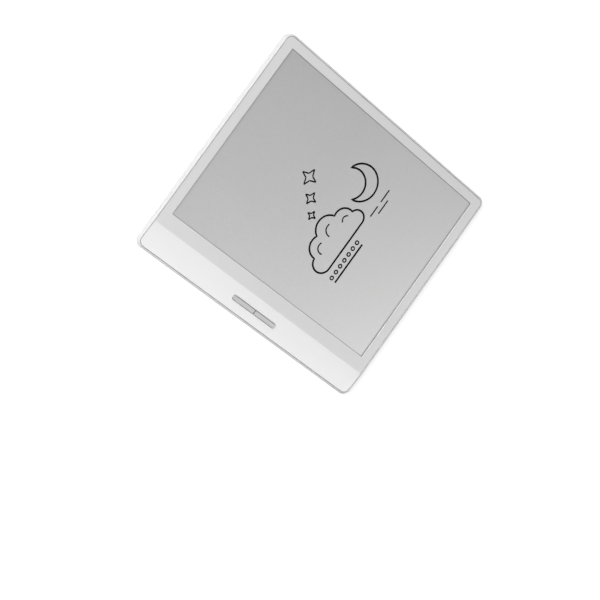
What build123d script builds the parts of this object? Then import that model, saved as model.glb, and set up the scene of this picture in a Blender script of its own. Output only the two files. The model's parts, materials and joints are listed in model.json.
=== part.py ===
"""E-reader with a wide grip border, two page keys, a power key and a card tray.

The back face lies on z = 0 with its centre at the origin. +Z points out of the screen, +Y points at the
end with the power key, and the grip border is on the -X side. All sizes are in millimetres.
"""

from build123d import *

import os
from math import atan2, cos, degrees, sin, tan

# Screen and case
SCREEN_WIDTH = 107.0
SCREEN_LENGTH = 142.2
GRIP_BORDER = 23.7  # from the window to the outside of the case, as the two below
SIDE_BORDER = 6.3
END_BORDER = 6.9
CORNER_RADIUS = 4.5
BACK_FILLET = 1.85
WALL = 1.05
LEDGE = 1.0  # the wall is this much thicker below the front plate, which rests on it
FLOOR = 0.9
RIM_BEVEL_WIDTH = 0.8
RIM_BEVEL_HEIGHT = 0.85
FIT = 0.1  # clearance around a piece that sits in a pocket
CLOSE_FIT = 0.05  # clearance around a piece that slides or is pressed
BEYOND = 1.0  # how far a cutting shape runs past what it cuts
STADIUM = 0.01  # keeps a rounded bar's radius just below half its height

# Front plate
WINDOW_RADIUS = 0.4
WINDOW_BEVEL = 0.12
PLATE = 0.7
PLATE_GAP = 0.25  # open groove between the front plate and the rim of the case
GRIP_START = 8.0  # from the window to the line where the grip begins to fall
GRIP_DROP = 1.0  # how far the grip has fallen at the outside of the case
HOOK_THICKNESS = 0.7
HOOK_WIDTH = 5.0
HOOK_DROP = 1.5
HOOK_BARB = 0.35
HOOK_BARB_HEIGHT = 0.7
HOOK_POCKET_HEIGHT = 1.0

# Display stack, from the top down
GASKET = 0.1
GASKET_SETBACK = 0.3
GASKET_WIDTH = 2.2
TOUCH_FILM = 0.3
LIGHT_GUIDE = 0.4
GUIDE_SETBACK = 0.3  # from the panel's edge to the light guide
LAMP_COUNT = 16
LAMP_LENGTH = 2.2
LAMP_WIDTH = 1.0
LAMP_END_ROOM = 3.0  # from the window's side to the first lamp
EPAPER_FILM = 0.2
BACKPLANE = 0.45
SUPPORT_PLATE = 0.25
PANEL_MARGIN = 2.6  # the panel is this much larger than the window on three sides
DRIVER_MARGIN = 5.0  # and this much on the grip side, where the driver chip sits
DRIVER_LENGTH = 22.0
DRIVER_WIDTH = 1.3
DRIVER_HEIGHT = 0.4
SUPPORT_HOLE_RADIUS = 1.5
FLEX = 0.12
FLEX_REACH = 4.2  # from the panel's edge to the end of a flex tail
FLEX_THROAT = 0.5  # height of a flex tail's end above the board
FLEX_SOCKET = 2.4
FLEX_SOCKET_HEIGHT = 0.95

# Inner frame, board and battery
MID_FRAME = 0.85
FRAME_SETBACK = 1.8  # from the window's grip side to the inner frame's edge
BOARD_STANDOFF = 0.7
BOARD = 0.6
BOARD_SETBACK = 3.2  # from the window's grip side to the board's edge
BOARD_CLEARANCE = 0.25
BATTERY_THICKNESS = 2.4
BATTERY_SIDE_ROOM = 20.5  # from the window's sides to the cell
BATTERY_END_ROOM = 28.0  # from the case's ends to the cell
BATTERY_TAPE = 0.15
BATTERY_SWELL = 0.15  # space left above the cell
BATTERY_LEAD_Y = (-5.0, 1.0)
BATTERY_CIRCUIT_Y = (-20.0, 16.0)
SCREW_RADIUS = 0.7
SCREW_HEAD_RADIUS = 1.3
SCREW_HEAD = 0.45
SCREW_RECESS = 0.5  # depth of the pocket in the inner frame that a screw's head sits in
SCREW_CLEARANCE = 0.03
BOSS_RADIUS = 2.0
SCREW_CROSS = (1.3, 0.3)  # length and width of the recess in a screw's head
RIB = 0.8  # rib across each end of the battery
RIB_LENGTH = 40.0
RIB_GAP = 1.0
FRAME_ROOM = 1.0  # space that the inner frame leaves round the battery and the speaker
CELL_ROUNDING = 0.3  # of the cell's thickness
TAPE_WIDTH = 14.0
CIRCUIT = 0.5
MAGNET_WIDTH = 3.0
MAGNET_LENGTH = 12.0
MAGNET_THICKNESS = 1.4

# Page keys
KEYS_LENGTH = 30.6
KEY_WIDTH = 2.9
KEY_RISE = 0.9
KEY_ROUNDING = 0.6
KEY_GAP = 0.12
KEY_CORNER = 1.0
KEY_WEB = 0.4  # strip of front plate left between the two keys
KEY_INSET = 8.05  # from the outside of the case to the keys' centre line
KEY_FLANGE = 0.5
KEY_LIP = 0.7
KEY_TRAVEL = 0.35
KEY_STEM_RADIUS = 1.1
KEY_SWITCH_HEIGHT = 1.1
KEY_SWITCH_BODY = (3.6, 3.0, 0.7)
KEY_SWITCH_RADIUS = 1.0

# Power key
POWER_KEY_LENGTH = 7.8
POWER_KEY_HEIGHT = 1.8
POWER_KEY_RISE = 0.35
POWER_KEY_INSET = 21.6  # from the outside of the case, grip side, to the key's centre
POWER_KEY_TRAVEL = 0.3
POWER_KEY_ROUNDING = 0.2
POWER_FLANGE = 0.5
POWER_FLANGE_SIDE = 0.8
POWER_FLANGE_RISE = 0.15
POWER_STEM = (2.0, 0.8)
POWER_SWITCH = (3.4, 1.5)
POWER_SWITCH_HEIGHT = 1.1
STATUS_LIGHT_RADIUS = 0.3
STATUS_LIGHT_INSET = 1.2

# Card tray and its ejector
CARD_WIDTH = 11.0
CARD_LENGTH = 15.0
TRAY_THICKNESS = 0.8
TRAY_RIM = 0.5
TRAY_FLOOR = 0.15
TRAY_CORNER = 0.3
TRAY_ROOT = 0.4  # how far the tray's frame runs into its cap
CONTACT_ROOM = (5.5, 1.5)  # from the tray's inner end to both sides of the opening over the contacts
CONTACT_SIDE_ROOM = 1.3
CONTACT_COUNT = 8
CONTACT_LENGTH = 3.0
CONTACT_WIDTH = 0.4
CAGE_SHEET = 0.12
TRAY_CAP_HEIGHT = 1.8
TRAY_CAP_MARGIN = 0.4  # from the cap's end to the tray's frame
TRAY_INSET = 25.0  # from the lower end of the case to the tray's cap
PINHOLE_ROOM = 2.6  # length of the cap beyond the tray's frame
PINHOLE_OFFSET = 1.2  # from the tray's frame to the pinhole
PINHOLE_RADIUS = 0.45
EJECT_TRAVEL = 1.2
LEVER_ARM = 3.6
LEVER_HALF_WIDTH = 0.5
LEVER_THICKNESS = 0.6
PLUNGER_RADIUS = 0.4
PIVOT_RADIUS = 0.5
PIVOT_CLEARANCE = 0.03
PLUNGER_GAP = 0.15  # between the plunger and the lever at rest
COLLAR = 0.6
GUIDE_BLOCK = 1.8
HUB_RADIUS = 1.1
PIVOT_FOOT_RADIUS = 0.9
PIVOT_HEAD_RADIUS = 0.8
PIVOT_HEAD = 0.2

# Connector, speaker and microphone on the lower end wall
USB_WIDTH = 8.94
USB_HEIGHT = 3.26
USB_DEPTH = 6.8
USB_SHEET = 0.3
USB_SETBACK = 0.3
USB_GAP = 0.88  # between the microphone and the connector
TONGUE_WIDTH = 6.7
TONGUE_THICKNESS = 0.7
TONGUE_REACH = 5.6  # from the inside of the receptacle's back to the tongue's tip
TONGUE_ROOT = 1.4
USB_CONTACT_PITCH = 0.5
USB_CONTACT_WIDTH = 0.26
USB_CONTACT_COUNT = 12
SPEAKER_INSET = 40.5  # from the outside of the case, away from the grip, to the speaker's centre
SPEAKER_SLOTS = 6
SPEAKER_SLOT_LENGTH = 1.8
SPEAKER_SLOT_HEIGHT = 0.9
SPEAKER_PITCH = 2.6
SPEAKER_LENGTH = 20.0
SPEAKER_DEPTH = 8.2
SPEAKER_THICKNESS = 2.5
SPEAKER_GAP = 0.6  # from the end wall to the speaker box, filled by its seal
CONE_GROOVE = (2.6, 3.3)  # inner and outer radius of the groove round the cone
CONE_GROOVE_DEPTH = 0.3
PORT_LENGTH = 12.0
PORT_HEIGHT = 1.0
SEAL_LENGTH = 16.4
MESH = 0.2
MICROPHONE_INSET = 5.6  # from the outside of the case, grip side, to the microphone's centre
MICROPHONE_WIDTH = 2.7
MICROPHONE_HOLE_RADIUS = 0.4
MICROPHONE_DEPTH = 2.0

# Board layout, counted along the board
PROCESSOR_INSET = 5.2  # from the board's upper end to the processor's shield
PROCESSOR_LENGTH = 21.3
POWER_LENGTH = 10.6
SHIELD_HEIGHT = 1.25
TOUCH_TAIL = 7.0
DISPLAY_TAIL = 14.0
LIGHT_TAIL = 5.0
TAIL_GAP = 4.0
SCREW_ROOM = 2.4  # from a board screw's centre to the piece beside it
BOARD_CORNER = 2.6  # from a board corner's sides to its screw
SHIELD_SHEET = 0.15
SHIELD_CORNER = 0.6
PASSIVE = (1.0, 0.5, 0.35)
PASSIVE_PITCH = 1.8

# Places that follow from the sizes above
BODY_WIDTH = GRIP_BORDER + SCREEN_WIDTH + SIDE_BORDER
BODY_LENGTH = SCREEN_LENGTH + 2 * END_BORDER
PANEL_THICKNESS = TOUCH_FILM + LIGHT_GUIDE + EPAPER_FILM + BACKPLANE + SUPPORT_PLATE
FRAME_TOP = FLOOR + BATTERY_TAPE + BATTERY_THICKNESS + BATTERY_SWELL
BODY_THICKNESS = FRAME_TOP + PANEL_THICKNESS + GASKET + PLATE
CASE_X, CASE_Y = BODY_WIDTH / 2, BODY_LENGTH / 2
CAVITY_X, CAVITY_Y = CASE_X - WALL - LEDGE, CASE_Y - WALL - LEDGE
CAVITY_RADIUS = max(CORNER_RADIUS - WALL - LEDGE, 0.3)
WINDOW_RIGHT = CASE_X - SIDE_BORDER
WINDOW_LEFT = GRIP_BORDER - CASE_X
WINDOW_Y = SCREEN_LENGTH / 2
WINDOW_MIDDLE = (WINDOW_LEFT + WINDOW_RIGHT) / 2
CREASE_X = WINDOW_LEFT - GRIP_START
GRIP_ANGLE = atan2(GRIP_DROP, CASE_X + CREASE_X)

PLATE_UNDER = BODY_THICKNESS - PLATE
FILM_TOP = PLATE_UNDER - GASKET
GUIDE_TOP = FILM_TOP - TOUCH_FILM
PAPER_TOP = GUIDE_TOP - LIGHT_GUIDE
GLASS_TOP = PAPER_TOP - EPAPER_FILM
SUPPORT_TOP = GLASS_TOP - BACKPLANE
FRAME_UNDER = FRAME_TOP - MID_FRAME
BOARD_UNDER = FLOOR + BOARD_STANDOFF
BOARD_TOP = BOARD_UNDER + BOARD
MID_HEIGHT = BOARD_TOP + POWER_SWITCH_HEIGHT / 2  # centre line of the openings in the side walls

PANEL_LEFT = WINDOW_LEFT - DRIVER_MARGIN
PANEL_RIGHT = WINDOW_RIGHT + PANEL_MARGIN
PANEL_Y = WINDOW_Y + PANEL_MARGIN
FRAME_LEFT = WINDOW_LEFT - FRAME_SETBACK
BOARD_LEFT = -CAVITY_X + BOARD_CLEARANCE
BOARD_RIGHT = WINDOW_LEFT - BOARD_SETBACK
BOARD_Y = CAVITY_Y - BOARD_CLEARANCE
BATTERY_X = (WINDOW_LEFT + BATTERY_SIDE_ROOM, WINDOW_RIGHT - BATTERY_SIDE_ROOM)
BATTERY_Y = CASE_Y - BATTERY_END_ROOM
CIRCUIT_X = (BATTERY_X[0] - 4.6, BATTERY_X[0] - 0.2)

KEY_X = -CASE_X + KEY_INSET
POWER_X = -CASE_X + POWER_KEY_INSET
SPEAKER_X = CASE_X - SPEAKER_INSET
MICROPHONE_X = -CASE_X + MICROPHONE_INSET
USB_X = MICROPHONE_X + MICROPHONE_WIDTH / 2 + USB_GAP + USB_WIDTH / 2
USB_BACK = -CASE_Y + USB_SETBACK + USB_DEPTH

TRAY_WIDTH = CARD_WIDTH + 2 * TRAY_RIM
TRAY_CAP_LENGTH = TRAY_CAP_MARGIN + TRAY_WIDTH + PINHOLE_ROOM
TRAY_Y = -CASE_Y + TRAY_INSET + TRAY_CAP_LENGTH / 2
TRAY_LOW = TRAY_Y - TRAY_CAP_LENGTH / 2 + TRAY_CAP_MARGIN
TRAY_HIGH = TRAY_LOW + TRAY_WIDTH
TRAY_IN = -CASE_X + WALL  # inner face of the tray's cap
TRAY_END = TRAY_IN + CARD_LENGTH + TRAY_RIM
TRAY_Z = (MID_HEIGHT - 0.3, MID_HEIGHT - 0.3 + TRAY_THICKNESS)
PIN_Y = TRAY_HIGH + PINHOLE_OFFSET
LEVER_X = TRAY_END + EJECT_TRAVEL + LEVER_HALF_WIDTH + 0.1
LEVER_Y = PIN_Y - LEVER_ARM
LEVER_Z = (MID_HEIGHT - 0.2, MID_HEIGHT - 0.2 + LEVER_THICKNESS)
PLUNGER_Z = sum(LEVER_Z) / 2

PROCESSOR_TOP = BOARD_Y - PROCESSOR_INSET
TOUCH_TOP = PROCESSOR_TOP - PROCESSOR_LENGTH - 2 * SCREW_ROOM - 0.4
DISPLAY_TOP = TOUCH_TOP - TOUCH_TAIL - TAIL_GAP
LIGHT_TOP = USB_BACK + 4.4 + LIGHT_TAIL
POWER_LOW = PIN_Y + 6.2
TOUCH_FLEX_Y = (TOUCH_TOP - TOUCH_TAIL, TOUCH_TOP)
DISPLAY_FLEX_Y = (DISPLAY_TOP - DISPLAY_TAIL, DISPLAY_TOP)
LIGHT_FLEX_Y = (LIGHT_TOP - LIGHT_TAIL, LIGHT_TOP)
SHIELD_X = (BOARD_LEFT + 0.6, BOARD_RIGHT - 1.0)

GRIP_PLANE = Plane(
    origin=(CREASE_X, 0, BODY_THICKNESS),
    x_dir=(cos(GRIP_ANGLE), 0, sin(GRIP_ANGLE)),
    z_dir=(-sin(GRIP_ANGLE), 0, cos(GRIP_ANGLE)),
)

END_HOOKS = (WINDOW_LEFT + 15, WINDOW_MIDDLE + 3, WINDOW_RIGHT - 10)
SIDE_HOOKS = (18 - CASE_Y, -22, 22, CASE_Y - 18)
GRIP_HOOKS = (TRAY_Y + 15.5, CASE_Y - 52, CASE_Y - 16)
HOOKS = [(x, CAVITY_Y, 90) for x in END_HOOKS]
HOOKS += [(x, -CAVITY_Y, -90) for x in END_HOOKS]
HOOKS += [(CAVITY_X, y, 0) for y in SIDE_HOOKS]
HOOKS += [(-CAVITY_X, y, 180) for y in GRIP_HOOKS]

FRAME_SCREWS = [(FRAME_LEFT + 4, y) for y in (17 - CASE_Y, CASE_Y - 16)]
FRAME_SCREWS += [(WINDOW_MIDDLE, y) for y in (14 - CASE_Y, CASE_Y - 17)]
FRAME_SCREWS += [(WINDOW_RIGHT - 4.5, y) for y in (14 - CASE_Y, -20, 20, CASE_Y - 14)]
BOARD_SCREWS = [
    (BOARD_LEFT + BOARD_CORNER, BOARD_Y - BOARD_CORNER),
    (BOARD_RIGHT - 2.2, PROCESSOR_TOP - PROCESSOR_LENGTH - SCREW_ROOM),
    (BOARD_RIGHT - 2.2, POWER_LOW - SCREW_ROOM),
    (BOARD_LEFT + BOARD_CORNER, LIGHT_FLEX_Y[0] + BOARD_CORNER),
]


# Shapes


def block(x, y, z):
    """A box between the low and high value given for each axis."""
    centre = Pos((x[0] + x[1]) / 2, (y[0] + y[1]) / 2, (z[0] + z[1]) / 2)
    return centre * Box(x[1] - x[0], y[1] - y[0], z[1] - z[0])


def slab(x, y, z, radius):
    """A box whose upright edges are rounded."""
    outline = RectangleRounded(x[1] - x[0], y[1] - y[0], radius)
    return Pos((x[0] + x[1]) / 2, (y[0] + y[1]) / 2, z[0]) * extrude(outline, z[1] - z[0])


def post(x, y, z, radius):
    """An upright cylinder."""
    return Pos(x, y, (z[0] + z[1]) / 2) * Cylinder(radius, z[1] - z[0])


def bar_along_y(x, z, width, height, radius, y):
    """A rounded bar that runs along Y, for openings in the end walls and what fills them."""
    outline = RectangleRounded(width, height, radius)
    return Pos(x, y[1], z) * Plane.XZ.location * extrude(outline, y[1] - y[0])


def bar_along_x(y, z, width, height, radius, x):
    """A rounded bar that runs along X, for openings in the long walls and what fills them."""
    outline = RectangleRounded(width, height, radius)
    return Pos(x[0], y, z) * Plane.YZ.location * extrude(outline, x[1] - x[0])


def ribbon(points, thickness, y):
    """A flat flexible strip that follows x, z points and is as wide as the y span."""
    strip = trace(Polyline(*points), thickness)
    return Pos(0, y[1], 0) * Plane.XZ.location * extrude(strip, y[1] - y[0])


def inset_prism(inset, z):
    """The case's outline, drawn in by inset, between two heights."""
    radius = max(CORNER_RADIUS - inset, 0.3)
    return slab((inset - CASE_X, CASE_X - inset), (inset - CASE_Y, CASE_Y - inset), z, radius)


def below_front(depth):
    """Everything below the front surface lowered by depth, flat over the screen and falling at the grip."""
    reach = CASE_X + BEYOND
    top = BODY_THICKNESS - depth
    low = top - (reach + CREASE_X) * tan(GRIP_ANGLE)
    corners = [(-reach, -BEYOND), (reach, -BEYOND), (reach, top), (CREASE_X, top), (-reach, low)]
    return extrude(Plane.XZ * make_face(Polyline(*corners, close=True)), CASE_Y + BEYOND, both=True)


def front_height(x, depth=0.0):
    """Height of the front surface, lowered by depth, at a place across the case."""
    return BODY_THICKNESS - depth - max(CREASE_X - x, 0) * tan(GRIP_ANGLE)


def bevelled_roof(plane, low_x, high_x):
    """A block below plane whose sides spread at the rim's bevel, to trim the case's front edges."""
    depth = 2 * BODY_THICKNESS + BODY_WIDTH * tan(GRIP_ANGLE)
    angle = degrees(atan2(RIM_BEVEL_WIDTH, RIM_BEVEL_HEIGHT))
    length = BODY_LENGTH - 2 * RIM_BEVEL_WIDTH
    outline = RectangleRounded(high_x - low_x, length, CORNER_RADIUS - RIM_BEVEL_WIDTH)
    place = plane.location * Pos((low_x + high_x) / 2, 0, 0) * Rot(180, 0, 0)
    return place * extrude(outline, depth, taper=-angle)


# Case and front plate


def case_form():
    """The outside of the closed case, with its rounded back and bevelled front rim."""
    form = inset_prism(0, (0, BODY_THICKNESS))
    form = fillet(form.faces().sort_by(Axis.Z)[0].edges(), BACK_FILLET)
    edge = CASE_X - RIM_BEVEL_WIDTH
    flat = bevelled_roof(Plane.XY.offset(BODY_THICKNESS), -edge, edge)
    grip_edge = (-CASE_X - CREASE_X) / cos(GRIP_ANGLE) + RIM_BEVEL_WIDTH
    grip = bevelled_roof(GRIP_PLANE, grip_edge, BODY_WIDTH)
    return form & flat & grip


def hook(under):
    """A snap hook below the front plate, drawn with its outer side towards +X."""
    bottom = under - HOOK_DROP
    stalk_x = (-FIT - HOOK_THICKNESS, -FIT)
    stalk = block(stalk_x, (-HOOK_WIDTH / 2, HOOK_WIDTH / 2), (bottom, under + PLATE / 2))
    tip = (HOOK_BARB - FIT, bottom + HOOK_BARB_HEIGHT - FIT)
    barb = make_face(Polyline((-FIT, bottom), (-FIT, bottom + HOOK_BARB_HEIGHT), tip, close=True))
    return stalk + extrude(Plane.XZ * barb, HOOK_WIDTH / 2, both=True)


def hook_pocket(under):
    """The pocket in the ledge that a hook's barb springs into."""
    bottom = under - HOOK_DROP - FIT
    y = (-HOOK_WIDTH / 2 - FIT, HOOK_WIDTH / 2 + FIT)
    return block((-FIT, HOOK_BARB), y, (bottom, bottom + HOOK_POCKET_HEIGHT))


def hook_places():
    """Where each hook stands, with the height of the front plate's underside there."""
    return [(Pos(x, y, 0) * Rot(0, 0, turn), front_height(x, PLATE)) for x, y, turn in HOOKS]


def key_outline(grow):
    """Outline of both page keys in the grip's own plane, made larger all round by grow."""
    centre = (KEY_X - CREASE_X) / cos(GRIP_ANGLE)
    outline = RectangleRounded(KEY_WIDTH + 2 * grow, KEYS_LENGTH + 2 * grow, KEY_CORNER + grow)
    return Pos(centre, 0, 0) * outline


def key_half(side, margin):
    """The half space of one page key, which starts margin away from the middle."""
    near, far = KEY_WEB / 2 + margin, BODY_LENGTH
    y = (near, far) if side > 0 else (-far, -near)
    return block((-BODY_WIDTH, BODY_WIDTH), y, (-BODY_LENGTH, BODY_LENGTH))


def rear_shell():
    shell = case_form() - inset_prism(WALL + LEDGE, (FLOOR, 2 * BODY_THICKNESS))
    pocket = inset_prism(WALL, (FLOOR, 2 * BODY_THICKNESS)) - below_front(PLATE)
    shell -= pocket
    for x, y in FRAME_SCREWS:
        shell += post(x, y, (FLOOR / 2, FRAME_UNDER), BOSS_RADIUS)
    for x, y in BOARD_SCREWS:
        shell += post(x, y, (FLOOR / 2, BOARD_UNDER), BOSS_RADIUS)
    for y in (-BATTERY_Y - RIB_GAP, BATTERY_Y + RIB_GAP):
        rib_x = (WINDOW_MIDDLE - RIB_LENGTH / 2, WINDOW_MIDDLE + RIB_LENGTH / 2)
        shell += block(rib_x, (y - RIB / 2, y + RIB / 2), (FLOOR / 2, FLOOR + BATTERY_THICKNESS / 2))
    for x, y in FRAME_SCREWS + BOARD_SCREWS:
        shell -= post(x, y, (FLOOR, BODY_THICKNESS), SCREW_RADIUS + SCREW_CLEARANCE)
    for place, under in hook_places():
        shell -= place * hook_pocket(under)
    return shell - power_key_opening() - tray_opening() - end_wall_openings()


def power_key_opening():
    grown = POWER_KEY_HEIGHT + 2 * FIT
    length = POWER_KEY_LENGTH + 2 * FIT
    y = (CAVITY_Y, CASE_Y + BEYOND)
    hole = bar_along_y(POWER_X, MID_HEIGHT, length, grown, grown / 2 - STADIUM, y)
    half = POWER_KEY_LENGTH / 2 + POWER_FLANGE_SIDE + 4 * FIT
    room_z = (FLOOR + FIT, MID_HEIGHT + POWER_KEY_HEIGHT / 2 + POWER_FLANGE_RISE + 6 * FIT)
    return hole + block((POWER_X - half, POWER_X + half), (CAVITY_Y - BEYOND, CASE_Y - WALL), room_z)


def tray_opening():
    grown = TRAY_CAP_HEIGHT + 2 * FIT
    x = (-CASE_X - BEYOND, BEYOND - CAVITY_X)
    return bar_along_x(TRAY_Y, MID_HEIGHT, TRAY_CAP_LENGTH + 2 * FIT, grown, grown / 2 - STADIUM, x)


def end_wall_openings():
    y = (-CASE_Y - BEYOND, BEYOND - CAVITY_Y)
    usb_radius = USB_HEIGHT / 2 + FIT - STADIUM
    cuts = bar_along_y(USB_X, MID_HEIGHT, USB_WIDTH + 2 * FIT, USB_HEIGHT + 2 * FIT, usb_radius, y)
    for n in range(SPEAKER_SLOTS):
        x = SPEAKER_X + (n - (SPEAKER_SLOTS - 1) / 2) * SPEAKER_PITCH
        radius = SPEAKER_SLOT_HEIGHT / 2 - STADIUM
        cuts += bar_along_y(x, MID_HEIGHT, SPEAKER_SLOT_LENGTH, SPEAKER_SLOT_HEIGHT, radius, y)
    span = SPEAKER_SLOTS * SPEAKER_PITCH
    mesh = (SPEAKER_X - span / 2 - FIT, SPEAKER_X + span / 2 + FIT)
    mesh_z = (MID_HEIGHT - SPEAKER_SLOT_HEIGHT - FIT, MID_HEIGHT + SPEAKER_SLOT_HEIGHT + FIT)
    cuts += block(mesh, (-CAVITY_Y - MESH - 2 * CLOSE_FIT, BEYOND - CAVITY_Y), mesh_z)
    hole = Cylinder(MICROPHONE_HOLE_RADIUS, y[1] - y[0])
    return cuts + Pos(MICROPHONE_X, (y[0] + y[1]) / 2, MID_HEIGHT) * Rot(90, 0, 0) * hole


def front_bezel():
    plate = inset_prism(WALL + PLATE_GAP, (0, BODY_THICKNESS)) & below_front(0)
    plate -= below_front(PLATE)
    window = RectangleRounded(SCREEN_WIDTH, SCREEN_LENGTH, WINDOW_RADIUS)
    plate -= Pos(WINDOW_MIDDLE, 0, 0) * extrude(window, 2 * BODY_THICKNESS)
    bevel = extrude(window, WINDOW_BEVEL + FIT, taper=-45)
    plate -= Pos(WINDOW_MIDDLE, 0, BODY_THICKNESS - WINDOW_BEVEL) * bevel
    slot = GRIP_PLANE.location * extrude(key_outline(KEY_GAP), 2 * BODY_THICKNESS, both=True)
    web = block((-CASE_X, WINDOW_LEFT), (-KEY_WEB / 2, KEY_WEB / 2), (0, 2 * BODY_THICKNESS))
    plate -= slot - web
    for place, under in hook_places():
        plate += place * hook(under)
    return plate


# Keys


def page_key(side):
    """One page key: a rounded cap, a flange that keeps it in, and a stem over its switch."""
    under = -PLATE - FIT
    cap = extrude(Pos(0, 0, under) * key_outline(0), KEY_RISE - under)
    cap = fillet(cap.faces().sort_by(Axis.Z)[-1].edges(), KEY_ROUNDING)
    flange = extrude(Pos(0, 0, under - KEY_FLANGE) * key_outline(KEY_LIP), KEY_FLANGE)
    middle = side * KEYS_LENGTH / 4
    centre = (KEY_X - CREASE_X) / cos(GRIP_ANGLE)
    switch_top = BOARD_TOP + KEY_SWITCH_HEIGHT
    reach = (front_height(KEY_X) - switch_top - KEY_TRAVEL - FIT) / cos(GRIP_ANGLE)
    stem = post(centre, middle, (-reach, under), KEY_STEM_RADIUS)
    return GRIP_PLANE.location * ((cap + flange + stem) & key_half(side, KEY_GAP))


def page_switches():
    width, length, height = KEY_SWITCH_BODY
    parts = []
    for side in (-1, 1):
        y = side * KEYS_LENGTH / 4
        span = (y - length / 2, y + length / 2)
        body = block((KEY_X - width / 2, KEY_X + width / 2), span, (BOARD_TOP, BOARD_TOP + height))
        dome = (BOARD_TOP + height, BOARD_TOP + KEY_SWITCH_HEIGHT)
        parts.append(body + post(KEY_X, y, dome, KEY_SWITCH_RADIUS))
    return parts


def power_key():
    """The power key: a stadium cap through the end wall, a flange behind it and a stem to its switch."""
    radius = POWER_KEY_HEIGHT / 2 - STADIUM
    wall = CASE_Y - WALL
    cap_y = (wall - 2 * FIT, CASE_Y + POWER_KEY_RISE)
    cap = bar_along_y(POWER_X, MID_HEIGHT, POWER_KEY_LENGTH, POWER_KEY_HEIGHT, radius, cap_y)
    cap = fillet(cap.faces().sort_by(Axis.Y)[-1].edges(), POWER_KEY_ROUNDING)
    half = POWER_KEY_LENGTH / 2 + POWER_FLANGE_SIDE
    rise = POWER_KEY_HEIGHT / 2 + POWER_FLANGE_RISE
    flange = block(
        (POWER_X - half, POWER_X + half),
        (wall - FIT - POWER_FLANGE, wall - FIT),
        (MID_HEIGHT - rise, MID_HEIGHT + rise),
    )
    width, height = POWER_STEM
    stem = block(
        (POWER_X - width / 2, POWER_X + width / 2),
        (CAVITY_Y + FIT, wall - POWER_FLANGE),
        (MID_HEIGHT - height / 2, MID_HEIGHT + height / 2),
    )
    return cap + flange + stem - status_light_bore()


def status_light_place():
    x = POWER_X - POWER_KEY_LENGTH / 2 + STATUS_LIGHT_INSET
    return Pos(x, CASE_Y + POWER_KEY_RISE / 2, MID_HEIGHT) * Rot(90, 0, 0)


def status_light_bore():
    return status_light_place() * Cylinder(STATUS_LIGHT_RADIUS + STADIUM, POWER_KEY_RISE + BEYOND)


def status_light():
    """A clear light pipe set into the power key."""
    return status_light_place() * Cylinder(STATUS_LIGHT_RADIUS, POWER_KEY_RISE)


def power_switch():
    width, depth = POWER_SWITCH
    front = CAVITY_Y - POWER_KEY_TRAVEL
    z = (BOARD_TOP, BOARD_TOP + POWER_SWITCH_HEIGHT)
    return block((POWER_X - width / 2, POWER_X + width / 2), (front - depth, front), z)


# Card tray and ejector


def card_tray():
    """The tray: a cap that fills the opening in the wall and a frame that holds the card."""
    radius = TRAY_CAP_HEIGHT / 2 - STADIUM
    cap = bar_along_x(TRAY_Y, MID_HEIGHT, TRAY_CAP_LENGTH, TRAY_CAP_HEIGHT, radius, (-CASE_X, TRAY_IN))
    frame = slab((TRAY_IN - TRAY_ROOT, TRAY_END), (TRAY_LOW, TRAY_HIGH), TRAY_Z, TRAY_CORNER)
    seat = block(
        (TRAY_IN + 2 * FIT, TRAY_END - TRAY_RIM + 2 * FIT),
        (TRAY_LOW + TRAY_RIM, TRAY_HIGH - TRAY_RIM),
        (TRAY_Z[0] + TRAY_FLOOR, TRAY_Z[1] + BEYOND),
    )
    contact_window = block(
        (TRAY_END - CONTACT_ROOM[0], TRAY_END - CONTACT_ROOM[1]),
        (TRAY_LOW + CONTACT_SIDE_ROOM, TRAY_HIGH - CONTACT_SIDE_ROOM),
        (0, TRAY_Z[1]),
    )
    pinhole = Pos(TRAY_IN, PIN_Y, PLUNGER_Z) * Rot(0, 90, 0) * Cylinder(PINHOLE_RADIUS, 4 * WALL)
    return cap + frame - seat - contact_window - pinhole


def socket_base():
    """Plastic floor of the card socket, with the two guides that carry the plunger."""
    low, high = BOARD_TOP, TRAY_Z[0] - FIT
    base = block(
        (-CAVITY_X + 4 * FIT, TRAY_END + 3 * FIT), (TRAY_LOW - 2 * FIT, TRAY_HIGH + 2 * FIT), (low, high)
    )
    for x in (-CAVITY_X + 6 * FIT, TRAY_END - 2.4):
        y = (TRAY_HIGH + FIT, PIN_Y + 2 * PLUNGER_RADIUS)
        base += block((x, x + GUIDE_BLOCK), y, (low, PLUNGER_Z + PLUNGER_RADIUS + 3 * FIT))
    bore = Cylinder(PLUNGER_RADIUS + CLOSE_FIT, 4 * CARD_LENGTH)
    return base - Pos(TRAY_IN, PIN_Y, PLUNGER_Z) * Rot(0, 90, 0) * bore - tray_path()


def tray_path():
    """The space that the card tray slides through."""
    y = (TRAY_LOW - CLOSE_FIT, TRAY_HIGH + CLOSE_FIT)
    return block((-CASE_X, TRAY_END + 2 * FIT), y, (TRAY_Z[0] - CLOSE_FIT, TRAY_Z[1] + CLOSE_FIT))


def socket_cage():
    """Folded steel cover over the card tray."""
    top = TRAY_Z[1] + FIT + CAGE_SHEET
    x = (-CAVITY_X + 5 * FIT, TRAY_END - 4 * FIT)
    y = (TRAY_LOW - 2 * FIT - CAGE_SHEET, TRAY_HIGH + FIT)
    lid = block(x, y, (top - CAGE_SHEET, top))
    near = block(x, (y[0], y[0] + CAGE_SHEET), (BOARD_TOP, top))
    return lid + near


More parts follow.
